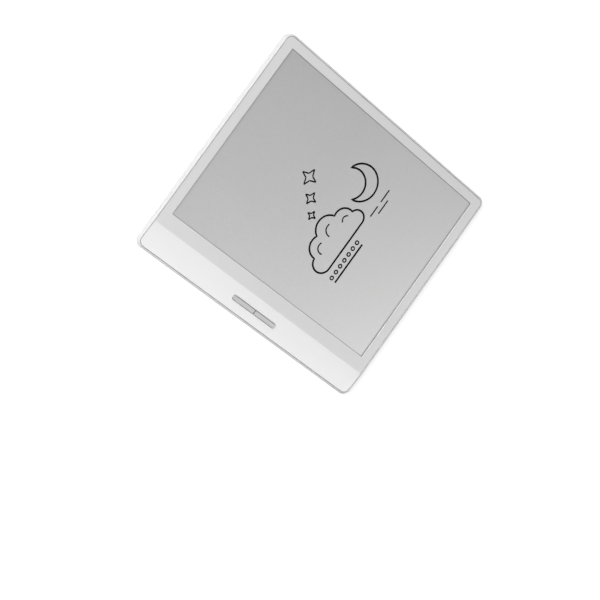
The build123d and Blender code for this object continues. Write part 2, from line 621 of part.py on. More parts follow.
def card_contacts():
    """The eight spring contacts that meet the card from below."""
    first = TRAY_LOW + 2 * TRAY_RIM + 1.0
    last = TRAY_HIGH - 2 * TRAY_RIM - 1.0
    x = (TRAY_END - 2.0 - CONTACT_LENGTH, TRAY_END - 2.0)
    z = (TRAY_Z[0] - FIT, TRAY_Z[0] - 0.06)
    strips = []
    for n in range(CONTACT_COUNT):
        y = first + n * (last - first) / (CONTACT_COUNT - 1)
        strips.append(block(x, (y - CONTACT_WIDTH / 2, y + CONTACT_WIDTH / 2), z))
    return strips


def eject_plunger():
    """The rod that the eject pin pushes."""
    start, end = TRAY_IN + 5 * FIT, LEVER_X - LEVER_HALF_WIDTH - PLUNGER_GAP
    rod = Pos((start + end) / 2, PIN_Y, PLUNGER_Z) * Rot(0, 90, 0) * Cylinder(PLUNGER_RADIUS, end - start)
    collar = Cylinder(PLUNGER_RADIUS + 2 * FIT, COLLAR)
    return rod + Pos(TRAY_END - CONTACT_ROOM[0], PIN_Y, PLUNGER_Z) * Rot(0, 90, 0) * collar


def eject_lever():
    """The rocking lever that turns the plunger's push round to the tray's inner end."""
    arms = SlotCenterToCenter(2 * LEVER_ARM, 2 * LEVER_HALF_WIDTH)
    hub = Circle(HUB_RADIUS)
    body = extrude(Rot(0, 0, 90) * arms + hub, LEVER_THICKNESS)
    body = Pos(LEVER_X, LEVER_Y, LEVER_Z[0]) * body
    return body - post(LEVER_X, LEVER_Y, (0, BODY_THICKNESS), PIVOT_RADIUS + PIVOT_CLEARANCE)


def eject_pivot():
    """Shouldered pin on the board that the lever turns on."""
    head = (LEVER_Z[1] + CLOSE_FIT, LEVER_Z[1] + CLOSE_FIT + PIVOT_HEAD)
    foot = post(LEVER_X, LEVER_Y, (BOARD_TOP, LEVER_Z[0] - CLOSE_FIT), PIVOT_FOOT_RADIUS)
    pin = post(LEVER_X, LEVER_Y, (BOARD_TOP, head[1]), PIVOT_RADIUS)
    return foot + pin + post(LEVER_X, LEVER_Y, head, PIVOT_HEAD_RADIUS)


# Connector, speaker and microphone


def usb_shell():
    """Drawn steel receptacle, open at the end wall."""
    outer = (USB_BACK - USB_DEPTH, USB_BACK)
    radius = USB_HEIGHT / 2 - STADIUM
    can = bar_along_y(USB_X, MID_HEIGHT, USB_WIDTH, USB_HEIGHT, radius, outer)
    hollow = bar_along_y(
        USB_X,
        MID_HEIGHT,
        USB_WIDTH - 2 * USB_SHEET,
        USB_HEIGHT - 2 * USB_SHEET,
        radius - USB_SHEET,
        (outer[0] - BEYOND, outer[1] - USB_SHEET),
    )
    return can - hollow


def usb_tongue():
    """Moulded insulator: a block at the back of the receptacle and the tongue that a plug goes round."""
    back = USB_BACK - USB_SHEET
    play = 0.02
    radius = USB_HEIGHT / 2 - STADIUM - USB_SHEET - play
    width, height = USB_WIDTH - 2 * (USB_SHEET + play), USB_HEIGHT - 2 * (USB_SHEET + play)
    base = bar_along_y(USB_X, MID_HEIGHT, width, height, radius, (back - TONGUE_ROOT, back - play))
    tongue = block(
        (USB_X - TONGUE_WIDTH / 2, USB_X + TONGUE_WIDTH / 2),
        (back - TONGUE_REACH, back - TONGUE_ROOT / 2),
        (MID_HEIGHT - TONGUE_THICKNESS / 2, MID_HEIGHT + TONGUE_THICKNESS / 2),
    )
    return base + tongue


def usb_contacts():
    """Twelve gold strips on each face of the tongue."""
    back = USB_BACK - USB_SHEET
    y = (back - TONGUE_REACH + 6 * FIT, back - TONGUE_ROOT - FIT)
    half = USB_CONTACT_WIDTH / 2
    thickness = 0.05
    strips = []
    for n in range(USB_CONTACT_COUNT):
        x = USB_X + (n - (USB_CONTACT_COUNT - 1) / 2) * USB_CONTACT_PITCH
        for low in (MID_HEIGHT + TONGUE_THICKNESS / 2, MID_HEIGHT - TONGUE_THICKNESS / 2 - thickness):
            strips.append(block((x - half, x + half), y, (low, low + thickness)))
    return strips


def speaker():
    """Closed speaker box with its cone on top and a side port to the end wall."""
    front = -CAVITY_Y + SPEAKER_GAP
    x = (SPEAKER_X - SPEAKER_LENGTH / 2, SPEAKER_X + SPEAKER_LENGTH / 2)
    z = (FLOOR + FIT, FLOOR + FIT + SPEAKER_THICKNESS)
    box = slab(x, (front, front + SPEAKER_DEPTH), z, 1.0)
    centre = front + SPEAKER_DEPTH / 2
    groove = post(SPEAKER_X, centre, (z[1] - CONE_GROOVE_DEPTH, z[1] + BEYOND), CONE_GROOVE[1])
    groove -= post(SPEAKER_X, centre, (0, BODY_THICKNESS), CONE_GROOVE[0])
    port = block(
        (SPEAKER_X - PORT_LENGTH / 2, SPEAKER_X + PORT_LENGTH / 2),
        (front - BEYOND, front + BEYOND),
        (MID_HEIGHT - PORT_HEIGHT / 2, MID_HEIGHT + PORT_HEIGHT / 2),
    )
    return box - groove - port


def speaker_seal():
    x = (SPEAKER_X - SEAL_LENGTH / 2, SPEAKER_X + SEAL_LENGTH / 2)
    y = (-CAVITY_Y + CLOSE_FIT, -CAVITY_Y + SPEAKER_GAP)
    frame = block(x, y, (MID_HEIGHT - PORT_HEIGHT / 2 - 0.8, MID_HEIGHT + PORT_HEIGHT / 2 + 0.2))
    hole_z = (MID_HEIGHT - PORT_HEIGHT / 2, MID_HEIGHT + PORT_HEIGHT / 2)
    return frame - block((x[0] + 1, x[1] - 1), (-CASE_Y, 0), hole_z)


def speaker_mesh():
    half = SPEAKER_SLOTS * SPEAKER_PITCH / 2
    y = (-CAVITY_Y - CLOSE_FIT - MESH, -CAVITY_Y - CLOSE_FIT)
    z = (MID_HEIGHT - SPEAKER_SLOT_HEIGHT, MID_HEIGHT + SPEAKER_SLOT_HEIGHT)
    return block((SPEAKER_X - half, SPEAKER_X + half), y, z)


def microphone():
    x = (MICROPHONE_X - MICROPHONE_WIDTH / 2, MICROPHONE_X + MICROPHONE_WIDTH / 2)
    front = -BOARD_Y + 3 * FIT
    return block(x, (front, front + MICROPHONE_DEPTH), (BOARD_TOP, BOARD_TOP + 1.0))


def microphone_seal():
    y = (-CAVITY_Y + CLOSE_FIT, -BOARD_Y + 3 * FIT)
    half = MICROPHONE_WIDTH / 2 - CLOSE_FIT
    ring = block((MICROPHONE_X - half, MICROPHONE_X + half), y, (BOARD_TOP + CLOSE_FIT, BOARD_TOP + 1.3))
    hole = Cylinder(MICROPHONE_HOLE_RADIUS, 4 * WALL)
    return ring - Pos(MICROPHONE_X, -CAVITY_Y, MID_HEIGHT) * Rot(90, 0, 0) * hole


# Display stack


def screen_gasket():
    """Dark foam frame between the front plate and the touch film."""
    near, far = GASKET_SETBACK, GASKET_SETBACK + GASKET_WIDTH
    z = (FILM_TOP, PLATE_UNDER)
    frame = slab((WINDOW_LEFT - far, WINDOW_RIGHT + far), (-WINDOW_Y - far, WINDOW_Y + far), z, 0.8)
    hole_x = (WINDOW_LEFT - near, WINDOW_RIGHT + near)
    return frame - slab(hole_x, (-WINDOW_Y - near, WINDOW_Y + near), (0, BODY_THICKNESS), 0.5)


def touch_film():
    return slab((PANEL_LEFT, PANEL_RIGHT), (-PANEL_Y, PANEL_Y), (GUIDE_TOP, FILM_TOP), 0.8)


def light_guide():
    x = (PANEL_LEFT + 3.2, PANEL_RIGHT - GUIDE_SETBACK)
    y = (-PANEL_Y + LAMP_WIDTH + 6 * FIT, PANEL_Y - GUIDE_SETBACK)
    return slab(x, y, (PAPER_TOP, GUIDE_TOP), 0.5)


def light_leds():
    """Warm and cold lamps in turn along the light guide's lower edge."""
    pitch = (SCREEN_WIDTH - 2 * LAMP_END_ROOM) / (LAMP_COUNT - 1)
    y = (-PANEL_Y + 5 * FIT, -PANEL_Y + 5 * FIT + LAMP_WIDTH)
    lamps = []
    for n in range(LAMP_COUNT):
        x = WINDOW_LEFT + LAMP_END_ROOM + n * pitch
        lamps.append(block((x - LAMP_LENGTH / 2, x + LAMP_LENGTH / 2), y, (PAPER_TOP, GUIDE_TOP - FLEX)))
    return lamps


def light_flex():
    """Strip that carries the lamps, with a tail that dips to its connector on the board."""
    low = -PANEL_Y + FIT
    z = (GUIDE_TOP - FLEX, GUIDE_TOP)
    strip = block((PANEL_LEFT + 0.5, PANEL_RIGHT - 0.5), (low, low + LAMP_WIDTH + 4 * FIT), z)
    riser = block((PANEL_LEFT + 0.5, PANEL_LEFT + 2.7), (low, LIGHT_FLEX_Y[1]), z)
    return strip + riser + flex_tail(GUIDE_TOP - FLEX / 2, LIGHT_FLEX_Y, PANEL_LEFT + 1.0)


def flex_tail(height, y, start):
    """Ribbon from the panel's grip-side edge at height, down to a connector on the board."""
    connector = BOARD_TOP + FLEX_THROAT
    end = PANEL_LEFT - FLEX_REACH
    points = [
        (start, height),
        (end + 3.0, height),
        (end + 2.0, (height + connector) / 2),
        (end + 1.0, connector),
        (end, connector),
    ]
    return ribbon(points, FLEX, y)


def display_flex():
    return flex_tail(GLASS_TOP + FLEX / 2, DISPLAY_FLEX_Y, PANEL_LEFT + 0.5)


def touch_flex():
    return flex_tail(GUIDE_TOP - FLEX / 2, TOUCH_FLEX_Y, PANEL_LEFT + 1.5)


def flex_connector(y):
    """Socket on the board that a flex tail ends in."""
    end = PANEL_LEFT - FLEX_REACH
    front = end + 0.6
    body_z = (BOARD_TOP, BOARD_TOP + FLEX_SOCKET_HEIGHT)
    body = block((front - FLEX_SOCKET, front), (y[0] - 1.2, y[1] + 1.2), body_z)
    throat = BOARD_TOP + FLEX_THROAT
    slot = block((end - CLOSE_FIT, front + BEYOND), (y[0] - FIT, y[1] + FIT), (throat - FIT, throat + FIT))
    return body - slot


def epaper_film():
    x = (WINDOW_LEFT - 1.2, WINDOW_RIGHT + 1.4)
    return slab(x, (-WINDOW_Y - 1.2, WINDOW_Y + 1.2), (GLASS_TOP, PAPER_TOP), 0.3)


def display_backplane():
    return slab((PANEL_LEFT, PANEL_RIGHT), (-PANEL_Y, PANEL_Y), (SUPPORT_TOP, GLASS_TOP), 0.5)


def display_driver():
    """Long narrow chip bonded to the backplane's free edge."""
    x = (PANEL_LEFT + 0.9, PANEL_LEFT + 0.9 + DRIVER_WIDTH)
    return block(x, (-DRIVER_LENGTH / 2, DRIVER_LENGTH / 2), (GLASS_TOP, GLASS_TOP + DRIVER_HEIGHT))


def support_plate():
    """Stamped steel sheet that keeps the panel flat."""
    x = (PANEL_LEFT + 3 * FIT, PANEL_RIGHT - 2 * FIT)
    sheet = slab(x, (-PANEL_Y + 2 * FIT, PANEL_Y - 2 * FIT), (FRAME_TOP, SUPPORT_TOP), 0.8)
    for n in range(1, 5):
        for y in (4 - WINDOW_Y, WINDOW_Y - 4):
            sheet -= post(WINDOW_LEFT + n * SCREEN_WIDTH / 5, y, (0, BODY_THICKNESS), SUPPORT_HOLE_RADIUS)
    return sheet


# Inner frame, board and battery


def mid_frame():
    """Moulded frame that carries the display and surrounds the battery."""
    x = (FRAME_LEFT, CAVITY_X - FIT)
    y = CAVITY_Y - FIT
    frame = slab(x, (-y, y), (FRAME_UNDER, FRAME_TOP), CAVITY_RADIUS)
    through = (0, BODY_THICKNESS)
    room = FRAME_ROOM
    battery = (CIRCUIT_X[0] - room, BATTERY_X[1] + room)
    frame -= slab(battery, (-BATTERY_Y - 2 * room, BATTERY_Y + 2 * room), through, BOSS_RADIUS)
    for side in (-1, 1):
        y = sorted((side * 13, side * (CASE_Y - 33)))
        frame -= slab((WINDOW_RIGHT - 14, WINDOW_RIGHT - 7.5), y, through, 1.5)
    speaker_x = (SPEAKER_X - SPEAKER_LENGTH / 2 - room, SPEAKER_X + SPEAKER_LENGTH / 2 + room)
    frame -= block(speaker_x, (-CASE_Y, -CAVITY_Y + SPEAKER_DEPTH + SPEAKER_GAP + room), through)
    frame -= block((-CASE_X, POWER_X + POWER_KEY_LENGTH / 2 + 1.3), (CAVITY_Y - 2.6, CASE_Y), through)
    for sx, sy in FRAME_SCREWS:
        frame -= post(sx, sy, through, SCREW_RADIUS + FIT)
        frame -= post(sx, sy, (FRAME_TOP - SCREW_RECESS, BODY_THICKNESS), SCREW_HEAD_RADIUS + FIT)
    return frame


def screw(x, y, seat, length):
    """Pan-head screw with a cross recess, its head standing on seat."""
    body = post(x, y, (seat, seat + SCREW_HEAD), SCREW_HEAD_RADIUS)
    body += post(x, y, (seat - length, seat + SCREW_HEAD / 2), SCREW_RADIUS)
    for turn in (0, 90):
        body -= Pos(x, y, seat + SCREW_HEAD) * Rot(0, 0, turn) * Box(*SCREW_CROSS, SCREW_HEAD)
    return body


def frame_screws():
    seat = FRAME_TOP - SCREW_RECESS
    return [screw(x, y, seat, seat - FLOOR - FIT) for x, y in FRAME_SCREWS]


def board_screws():
    return [screw(x, y, BOARD_TOP, BOARD_TOP - FLOOR - FIT) for x, y in BOARD_SCREWS]


def main_board():
    """Long circuit board in the grip, with a foot that reaches the power switch."""
    z = (BOARD_UNDER, BOARD_TOP)
    board = slab((BOARD_LEFT, BOARD_RIGHT), (-BOARD_Y, BOARD_Y), z, CAVITY_RADIUS)
    board += block((BOARD_RIGHT - 4, POWER_X + 4.5), (BOARD_Y - 5, BOARD_Y - 0.2), z)
    notch = USB_WIDTH / 2 + 0.4
    board -= block((USB_X - notch, USB_X + notch), (-CASE_Y, USB_BACK + 0.2), (0, BODY_THICKNESS))
    for x, y in BOARD_SCREWS:
        board -= post(x, y, (0, BODY_THICKNESS), SCREW_RADIUS + FIT)
    return board


def shield(low, length):
    """Drawn metal lid over part of the board, open below."""
    sheet = SHIELD_SHEET
    top = BOARD_TOP + SHIELD_HEIGHT
    outer = slab(SHIELD_X, (low, low + length), (BOARD_TOP, top), SHIELD_CORNER)
    x = (SHIELD_X[0] + sheet, SHIELD_X[1] - sheet)
    return outer - slab(x, (low + sheet, low + length - sheet), (0, top - sheet), SHIELD_CORNER - sheet)


def chip(x, y, width, length, height):
    return block((x, x + width), (y, y + length), (BOARD_TOP, BOARD_TOP + height))


def passives():
    """Small parts in rows under and beside the shields."""
    rows = [(SHIELD_X[0] + 1.0, PROCESSOR_TOP - PROCESSOR_LENGTH + 1.2, 7)]
    rows += [(SHIELD_X[0] + 1.0, POWER_LOW + 1.0, 7)]
    rows += [(BOARD_LEFT + 1.2, TOUCH_TOP - 8.0, 3)]
    rows += [(BOARD_LEFT + 1.2, TOUCH_TOP - 5.5, 3)]
    rows += [(BOARD_LEFT + 1.2, TRAY_LOW - 4.9, 4)]
    length, width, height = PASSIVE
    parts = []
    for first, y, count in rows:
        for n in range(count):
            x = first + n * PASSIVE_PITCH
            parts.append(block((x, x + length), (y, y + width), (BOARD_TOP, BOARD_TOP + height)))
    return parts


def battery_cell():
    """Soft pouch cell with rounded long edges."""
    low = FLOOR + BATTERY_TAPE
    cell = block(BATTERY_X, (-BATTERY_Y, BATTERY_Y), (low, low + BATTERY_THICKNESS))
    long_edges = cell.edges().filter_by(Axis.Y)
    return fillet(long_edges, BATTERY_THICKNESS * CELL_ROUNDING)


def battery_tape():
    strips = []
    y = BATTERY_Y - 4
    z = (FLOOR, FLOOR + BATTERY_TAPE)
    for x in (BATTERY_X[0] + 19.5, BATTERY_X[1] - 19.5):
        strips.append(block((x - TAPE_WIDTH / 2, x + TAPE_WIDTH / 2), (-y, y), z))
    return strips


def battery_circuit():
    """Protection board along the cell's edge."""
    circuit = block(CIRCUIT_X, BATTERY_CIRCUIT_Y, (FLOOR + 0.4, FLOOR + 0.4 + CIRCUIT))
    for y in (BATTERY_CIRCUIT_Y[0] + 2, BATTERY_CIRCUIT_Y[1] - 10):
        circuit += block((CIRCUIT_X[0] + 1.2, CIRCUIT_X[1] - 0.8), (y, y + 6), (FLOOR + 0.8, FLOOR + 1.5))
    return circuit


def battery_lead():
    """Flat lead from the protection board to the main board."""
    connector = BOARD_TOP + 0.3
    circuit = FLOOR + 0.4 + CIRCUIT + FLEX / 2
    points = [
        (CIRCUIT_X[0] + 1.8, circuit),
        (CIRCUIT_X[0] - 1.2, circuit),
        (BOARD_RIGHT + 1.4, connector - 0.05),
        (BOARD_RIGHT + 0.4, connector),
        (BOARD_RIGHT - 1.0, connector),
    ]
    return ribbon(points, FLEX, BATTERY_LEAD_Y)


def battery_connector():
    low, high = BATTERY_LEAD_Y
    body_x = (BOARD_RIGHT - 3.4, BOARD_RIGHT - 0.4)
    body = block(body_x, (low - 1.0, high + 1.0), (BOARD_TOP, BOARD_TOP + 1.0))
    throat = BOARD_TOP + 0.3
    slot_x = (BOARD_RIGHT - 1.0 - CLOSE_FIT, BOARD_RIGHT)
    return body - block(slot_x, (low - FIT, high + FIT), (throat - FIT, throat + FIT))


def wifi_antenna():
    """Thin antenna film on the floor behind the upper end wall."""
    y = (CAVITY_Y - 9, CAVITY_Y - 1.5)
    film = slab((POWER_X + 8, POWER_X + 52), y, (FLOOR, FLOOR + FLEX), 0.8)
    for n in range(4):
        x = POWER_X + 16 + 9 * n
        film -= block((x, x + 1.2), (y[0] + 1.2, y[1] + 1), (0, BODY_THICKNESS))
    feed = block((BOARD_RIGHT - 3, POWER_X + 9), (y[0] + 0.6, y[0] + 2.6), (FLOOR, FLOOR + FLEX))
    return film + feed


def antenna_spring():
    """Bent clip below the board that touches the antenna's feed."""
    y = CAVITY_Y - 7.4
    points = [
        (BOARD_RIGHT - 0.6, BOARD_UNDER - 0.06),
        (BOARD_RIGHT - 2.6, BOARD_UNDER - 0.06),
        (BOARD_RIGHT - 1.8, FLOOR + FLEX + 0.1),
        (BOARD_RIGHT - 0.8, FLOOR + FLEX + 0.1),
    ]
    return ribbon(points, 0.1, (y - 0.6, y + 0.6))


def cover_magnets():
    """Magnets that hold a closed cover, beside the far long wall."""
    x = (CAVITY_X - 0.6 - MAGNET_WIDTH, CAVITY_X - 0.6)
    z = (FLOOR, FLOOR + MAGNET_THICKNESS)
    half = MAGNET_LENGTH / 2
    return [block(x, (y - half, y + half), z) for y in (36 - CASE_Y, 0, CASE_Y - 36)]


def hall_sensor():
    return chip(BOARD_RIGHT - 3.4, 9.0, 2.0, 1.4, 0.6)


NODES = {
    "rear_shell": rear_shell,
    "front_bezel": front_bezel,
    "page_back_key": lambda: page_key(1),
    "page_forward_key": lambda: page_key(-1),
    "page_switches": page_switches,
    "power_key": power_key,
    "status_light": status_light,
    "power_switch": power_switch,
    "card_tray": card_tray,
    "socket_base": socket_base,
    "socket_cage": socket_cage,
    "card_contacts": card_contacts,
    "eject_plunger": eject_plunger,
    "eject_lever": eject_lever,
    "eject_pivot": eject_pivot,
    "usb_shell": usb_shell,
    "usb_tongue": usb_tongue,
    "usb_contacts": usb_contacts,
    "speaker": speaker,
    "speaker_seal": speaker_seal,
    "speaker_mesh": speaker_mesh,
    "microphone": microphone,
    "microphone_seal": microphone_seal,
    "screen_gasket": screen_gasket,
    "touch_film": touch_film,
    "touch_flex": touch_flex,
    "touch_connector": lambda: flex_connector(TOUCH_FLEX_Y),
    "light_guide": light_guide,
    "light_leds": light_leds,
    "light_flex": light_flex,
    "light_connector": lambda: flex_connector(LIGHT_FLEX_Y),
    "epaper_film": epaper_film,
    "display_backplane": display_backplane,
    "display_driver": display_driver,
    "display_flex": display_flex,
    "display_connector": lambda: flex_connector(DISPLAY_FLEX_Y),
    "support_plate": support_plate,
    "mid_frame": mid_frame,
    "frame_screws": frame_screws,
    "main_board": main_board,
    "board_screws": board_screws,
    "processor_shield": lambda: shield(PROCESSOR_TOP - PROCESSOR_LENGTH, PROCESSOR_LENGTH),
    "power_shield": lambda: shield(POWER_LOW, POWER_LENGTH),
    "processor_chip": lambda: chip(BOARD_LEFT + 2.4, PROCESSOR_TOP - 14.5, 10.0, 11.0, 0.9),
    "memory_chip": lambda: chip(BOARD_LEFT + 2.0, DISPLAY_TOP - 11.0, 8.0, 11.0, 0.9),
    "power_chip": lambda: chip(BOARD_LEFT + 4.0, POWER_LOW + 3.0, 6.0, 6.0, 0.8),
    "passives": passives,
    "hall_sensor": hall_sensor,
    "battery_cell": battery_cell,
    "battery_tape": battery_tape,
    "battery_circuit": battery_circuit,
    "battery_lead": battery_lead,
    "battery_connector": battery_connector,
    "wifi_antenna": wifi_antenna,
    "antenna_spring": antenna_spring,
    "cover_magnets": cover_magnets,
}


def main():
    os.makedirs("parts", exist_ok=True)
    for name, make in NODES.items():
        made = make()
        shape = Compound(made) if isinstance(made, list) else made
        export_step(shape, f"parts/{name}.step")


main()
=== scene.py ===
"""The e-reader's finish: soft edges, materials, the picture on its screen, and a plain studio."""

import json
import math

import bpy
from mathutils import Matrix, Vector

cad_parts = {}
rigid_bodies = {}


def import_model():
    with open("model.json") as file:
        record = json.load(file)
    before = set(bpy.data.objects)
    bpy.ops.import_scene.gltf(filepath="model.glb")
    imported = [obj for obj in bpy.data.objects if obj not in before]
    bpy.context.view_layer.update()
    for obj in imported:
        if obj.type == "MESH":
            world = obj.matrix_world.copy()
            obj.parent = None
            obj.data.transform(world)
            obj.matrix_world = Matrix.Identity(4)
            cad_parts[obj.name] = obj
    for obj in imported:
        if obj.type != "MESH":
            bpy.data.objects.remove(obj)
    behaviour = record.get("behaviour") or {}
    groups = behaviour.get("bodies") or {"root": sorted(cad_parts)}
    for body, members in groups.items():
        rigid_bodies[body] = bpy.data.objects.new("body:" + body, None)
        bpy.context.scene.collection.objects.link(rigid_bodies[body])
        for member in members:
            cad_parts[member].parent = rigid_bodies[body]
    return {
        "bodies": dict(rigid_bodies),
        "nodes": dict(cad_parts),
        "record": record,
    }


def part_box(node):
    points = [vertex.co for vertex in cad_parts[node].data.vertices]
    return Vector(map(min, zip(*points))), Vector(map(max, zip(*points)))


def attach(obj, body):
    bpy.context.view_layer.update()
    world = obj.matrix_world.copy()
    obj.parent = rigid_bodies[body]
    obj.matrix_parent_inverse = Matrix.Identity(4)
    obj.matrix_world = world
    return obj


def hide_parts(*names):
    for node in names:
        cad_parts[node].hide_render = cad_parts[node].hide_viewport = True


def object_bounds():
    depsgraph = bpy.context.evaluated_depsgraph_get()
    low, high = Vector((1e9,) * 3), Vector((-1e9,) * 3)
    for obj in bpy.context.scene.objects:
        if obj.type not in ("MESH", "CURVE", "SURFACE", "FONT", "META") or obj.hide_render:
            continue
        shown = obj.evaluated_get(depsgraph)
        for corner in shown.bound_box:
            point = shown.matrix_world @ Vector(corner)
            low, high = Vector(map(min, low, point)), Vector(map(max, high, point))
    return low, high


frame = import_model()
cad_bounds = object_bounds()
nodes = frame["nodes"]

MM = 0.001
bpy.ops.object.select_all(action="DESELECT")

# Edge radii of the moulded and drawn pieces
SOFT_EDGES = {
    "rear_shell": 0.13 * MM,
    "front_bezel": 0.13 * MM,
    "page_back_key": 0.10 * MM,
    "page_forward_key": 0.10 * MM,
    "power_key": 0.08 * MM,
    "card_tray": 0.08 * MM,
    "usb_shell": 0.06 * MM,
    "usb_tongue": 0.05 * MM,
}

# Screen, in the frame's own places
gasket_low, gasket_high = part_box("screen_gasket")
GASKET_OUTSET = 2.5 * MM  # how far the gasket reaches out past the window
WINDOW_X = (gasket_low.x + GASKET_OUTSET, gasket_high.x - GASKET_OUTSET)
WINDOW_Y = (gasket_low.y + GASKET_OUTSET, gasket_high.y - GASKET_OUTSET)
SCREEN_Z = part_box("touch_film")[1].z
# The line round the window's edge is painted shade: a dark grey band where the front plate's recess meets
# the film
EDGE_SHADE_CORNER = 0.5 * MM
EDGE_SHADE_WIDTH = 0.30 * MM
EDGE_SHADE_TUCK = 0.20 * MM  # how far the line of painted shade runs under the front plate
INK_AND_SHADE_LIFT = 0.012 * MM  # how far the ink and the line of painted shade stand above the film

# Groove between the front plate and the rim
plate_low, plate_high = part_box("front_bezel")
GROOVE = 0.25 * MM
GROOVE_RADIUS = 3.45 * MM  # of the groove's outer corners
# The dark sheet at the foot of the groove is painted shade: it darkens the groove where its shade falls
GROOVE_SHADE_DEPTH = 0.35 * MM
GROOVE_SHADE_HEIGHT = 0.3 * MM
CREASE_X = WINDOW_X[0] - 8.0 * MM  # where the grip starts to slope
GRIP_SLOPE = 1.0 / 15.7
FLOOR_SIZE = 40.0
FLOOR_GAP = 0.02 * MM

# Shader node groups

FLOAT, COLOR, VECTOR = "NodeSocketFloat", "NodeSocketColor", "NodeSocketVector"


def new_group(name, inputs, outputs):
    """An empty node group with its sockets, given as name, socket type and default."""
    group = bpy.data.node_groups.new(name, "ShaderNodeTree")
    for label, kind, default in inputs:
        socket = group.interface.new_socket(label, in_out="INPUT", socket_type=kind)
        socket.default_value = default
    for label, kind in outputs:
        group.interface.new_socket(label, in_out="OUTPUT", socket_type=kind)
    return group, group.nodes.new("NodeGroupInput"), group.nodes.new("NodeGroupOutput")


def calc(tree, operation, *values):
    """A maths node whose inputs are numbers or sockets."""
    node = tree.nodes.new("ShaderNodeMath")
    node.operation = operation
    for slot, value in enumerate(values):
        if isinstance(value, (int, float)):
            node.inputs[slot].default_value = value
        else:
            tree.links.new(value, node.inputs[slot])
    return node.outputs[0]


def noise(tree, place, size, detail, roughness):
    """Noise whose lumps are about size across."""
    node = tree.nodes.new("ShaderNodeTexNoise")
    node.inputs["Detail"].default_value = detail
    node.inputs["Roughness"].default_value = roughness
    tree.links.new(place, node.inputs["Vector"])
    tree.links.new(calc(tree, "DIVIDE", 1.0, size), node.inputs["Scale"])
    return node.outputs["Fac"]


def scaled(tree, colour, factor):
    """A colour made lighter or darker by a factor."""
    node = tree.nodes.new("ShaderNodeVectorMath")
    node.operation = "SCALE"
    tree.links.new(colour, node.inputs[0])
    tree.links.new(factor, node.inputs["Scale"])
    return node.outputs[0]


def mould_grain_group():
    """Fine spark-eroded relief of a moulded face. Grain is the size of its pits."""
    inputs = [("Place", VECTOR, (0, 0, 0)), ("Grain", FLOAT, 0.25 * MM)]
    group, start, end = new_group("mould_grain", inputs, [("Height", FLOAT)])
    place, grain = start.outputs["Place"], start.outputs["Grain"]
    cells = group.nodes.new("ShaderNodeTexVoronoi")
    cells.feature = "SMOOTH_F1"
    group.links.new(place, cells.inputs["Vector"])
    group.links.new(calc(group, "DIVIDE", 1.0, grain), cells.inputs["Scale"])
    fine = noise(group, place, calc(group, "MULTIPLY", grain, 0.6), 3.0, 0.6)
    height = calc(group, "MULTIPLY_ADD", cells.outputs["Distance"], 0.6, fine)
    group.links.new(height, end.inputs["Height"])
    return group


def tone_drift_group():
    """Slow change of tone and gloss across a face, and a little change from grain to grain."""
    inputs = [
        ("Place", VECTOR, (0, 0, 0)),
        ("Colour", COLOR, (1, 1, 1, 1)),
        ("Drift", FLOAT, 0.03),
        ("Patch", FLOAT, 30 * MM),
        ("Fleck", FLOAT, 0.02),
        ("Fleck Size", FLOAT, 0.4 * MM),
        ("Gloss", FLOAT, 0.5),
        ("Gloss Drift", FLOAT, 0.05),
    ]
    group, start, end = new_group("tone_drift", inputs, [("Colour", COLOR), ("Roughness", FLOAT)])
    place = start.outputs["Place"]
    patch = calc(group, "SUBTRACT", noise(group, place, start.outputs["Patch"], 3.0, 0.5), 0.5)
    fleck = calc(group, "SUBTRACT", noise(group, place, start.outputs["Fleck Size"], 1.0, 0.5), 0.5)
    shade = calc(group, "MULTIPLY_ADD", patch, start.outputs["Drift"], 1.0)
    shade = calc(group, "MULTIPLY_ADD", fleck, start.outputs["Fleck"], shade)
    group.links.new(scaled(group, start.outputs["Colour"], shade), end.inputs["Colour"])
    rough = calc(group, "MULTIPLY_ADD", patch, start.outputs["Gloss Drift"], start.outputs["Gloss"])
    group.links.new(rough, end.inputs["Roughness"])
    return group


def handling_group():
    """Faint smears from fingers: they change the gloss in soft curved patches."""
    inputs = [
        ("Place", VECTOR, (0, 0, 0)),
        ("Roughness", FLOAT, 0.4),
        ("Amount", FLOAT, 0.06),
        ("Reach", FLOAT, 14 * MM),
    ]
    group, start, end = new_group("handling", inputs, [("Roughness", FLOAT)])
    place, reach = start.outputs["Place"], start.outputs["Reach"]
    broad = noise(group, place, reach, 2.0, 0.6)
    streak = group.nodes.new("ShaderNodeMapping")
    streak.inputs["Scale"].default_value = (1.0, 0.22, 1.0)
    streak.inputs["Rotation"].default_value = (0, 0, math.radians(35))
    group.links.new(place, streak.inputs["Vector"])
    fine = noise(group, streak.outputs["Vector"], calc(group, "MULTIPLY", reach, 0.2), 4.0, 0.65)
    mask = group.nodes.new("ShaderNodeMapRange")
    mask.interpolation_type = "SMOOTHSTEP"
    mask.inputs["From Min"].default_value = 0.30
    mask.inputs["From Max"].default_value = 0.42
    group.links.new(calc(group, "MULTIPLY", broad, fine), mask.inputs["Value"])
    smear = calc(group, "MULTIPLY", mask.outputs["Result"], start.outputs["Amount"])
    rough = calc(group, "ADD", smear, start.outputs["Roughness"])
    group.links.new(rough, end.inputs["Roughness"])
    return group


def brushed_group():
    """Fine parallel lines of rolled or drawn sheet metal, along X."""
    inputs = [("Place", VECTOR, (0, 0, 0)), ("Line", FLOAT, 0.05 * MM)]
    group, start, end = new_group("brushed", inputs, [("Height", FLOAT)])
    along = group.nodes.new("ShaderNodeMapping")
    along.inputs["Scale"].default_value = (0.04, 1.0, 1.0)
    group.links.new(start.outputs["Place"], along.inputs["Vector"])
    lines = noise(group, along.outputs["Vector"], start.outputs["Line"], 2.0, 0.5)
    group.links.new(lines, end.inputs["Height"])
    return group


MOULD_GRAIN = mould_grain_group()
TONE_DRIFT = tone_drift_group()
HANDLING = handling_group()
BRUSHED = brushed_group()


# Materials

WEAVE_PITCH = 0.16 * MM


